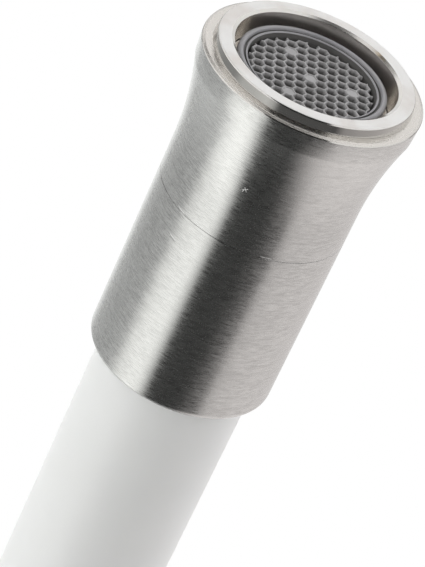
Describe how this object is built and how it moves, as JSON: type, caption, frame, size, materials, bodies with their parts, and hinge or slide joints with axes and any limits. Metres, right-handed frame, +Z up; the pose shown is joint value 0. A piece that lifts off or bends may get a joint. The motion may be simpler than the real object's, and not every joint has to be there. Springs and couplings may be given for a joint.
{
  "type": "kitchen mixer tap",
  "caption": "Deck-mounted kitchen mixer tap with a bendable white gooseneck spout, a flared brushed steel nozzle with a honeycomb aerator and a side lever.",
  "frame": {"origin": "centre of the tap's axis where its base gasket meets the deck", "axes": "+Z up along the body, the spout reaches towards -Y, the lever is on +X"},
  "size_m": [0.099, 0.2346, 0.547],
  "materials": {
    "brushed_steel": "lathe brushed, satin",
    "polished_steel": "polished",
    "white_silicone": "smooth satin white",
    "grey_plastic": "moulded, satin",
    "black_rubber": "matt",
    "brass": "turned",
    "plain_steel": "plain",
    "white_ceramic": "lapped",
    "white_plastic": "moulded",
    "clear_hose": "extruded",
    "index_plastic": "gloss, half red and half blue"
  },
  "bodies": {
    "body": {"base_gasket": "black_rubber", "base_ring": "brushed_steel", "mounting_shank": "brass", "clamp_rubber_washer": "black_rubber", "clamp_steel_washer": "plain_steel", "clamp_nut": "brass", "jack_screws": "plain_steel", "mixer_body": "brushed_steel", "cartridge_boss": "brushed_steel", "spout_retaining_screw": "plain_steel", "slip_ring": "white_plastic", "cartridge_seals": "black_rubber", "cartridge_base": "white_plastic", "cartridge_housing": "white_plastic", "fixed_ceramic_disc": "white_ceramic", "gland_nut": "brass", "dome_cover": "polished_steel"},
    "spout": {"spout_spigot": "brass", "spigot_o_rings": "black_rubber", "spout_ferrule": "brushed_steel", "foot_crimp_ring": "plain_steel", "neck_sleeve_rise": "white_silicone", "neck_sleeve_crown": "white_silicone", "bending_core_crown": "plain_steel", "water_hose_crown": "clear_hose"},
    "falling_neck": {"neck_sleeve_fall": "white_silicone", "neck_sleeve_drop": "white_silicone", "bending_core_drop": "plain_steel", "water_hose_drop": "clear_hose"},
    "nozzle": {"neck_sleeve_end": "white_silicone", "outlet_head": "brushed_steel", "rear_sleeve": "brushed_steel", "nozzle_connector": "brass", "connector_o_ring": "black_rubber", "nozzle_crimp_ring": "plain_steel", "aerator_shell": "polished_steel", "aerator_insert": "grey_plastic", "aerator_honeycomb": "grey_plastic", "aerator_jet_plate": "grey_plastic", "aerator_filter": "plain_steel", "aerator_washer": "black_rubber"},
    "mixing_carrier": {"stem_carrier": "white_plastic", "stem_pin": "plain_steel"},
    "lever": {"cartridge_stem": "plain_steel", "handle_cap": "brushed_steel", "lever_rod": "brushed_steel", "handle_grub_screw": "plain_steel", "index_plug": "index_plastic"},
    "flow_disc": {"moving_ceramic_disc": "white_ceramic", "disc_slider": "white_plastic"}
  },
  "joints": [
    {"name": "spout_swivel", "type": "hinge", "parent": "body", "child": "spout", "pos_m": [0, 0, 0.128], "axis": [0, 0, 1], "continuous": true},
    {"name": "neck_bend_crown", "type": "hinge", "parent": "spout", "child": "falling_neck", "pos_m": [0, -0.095, 0.443], "axis": [1, 0, 0], "range_deg": [-45, 20], "deforming": ["neck_sleeve_crown", "bending_core_crown", "water_hose_crown"]},
    {"name": "neck_bend_drop", "type": "hinge", "parent": "falling_neck", "child": "nozzle", "pos_m": [0, -0.19, 0.321], "axis": [1, 0, 0], "range_deg": [-30, 30], "deforming": ["neck_sleeve_drop", "bending_core_drop", "water_hose_drop"]},
    {"name": "lever_mix", "type": "hinge", "parent": "body", "child": "mixing_carrier", "pos_m": [0.043, 0, 0.084], "axis": [1, 0, 0], "range_deg": [-50, 50]},
    {"name": "lever_lift", "type": "hinge", "parent": "mixing_carrier", "child": "lever", "pos_m": [0.043, 0, 0.084], "axis": [0, 1, 0], "range_deg": [0, 25]},
    {"name": "flow_disc_slide", "type": "slide", "parent": "mixing_carrier", "child": "flow_disc", "axis": [0, 0, 1], "range_m": [0, 0.0043]}
  ],
  "couplings": [
    {"joint": "flow_disc_slide", "follows": "lever_lift", "m_per_rad": 0.0095}
  ]
}
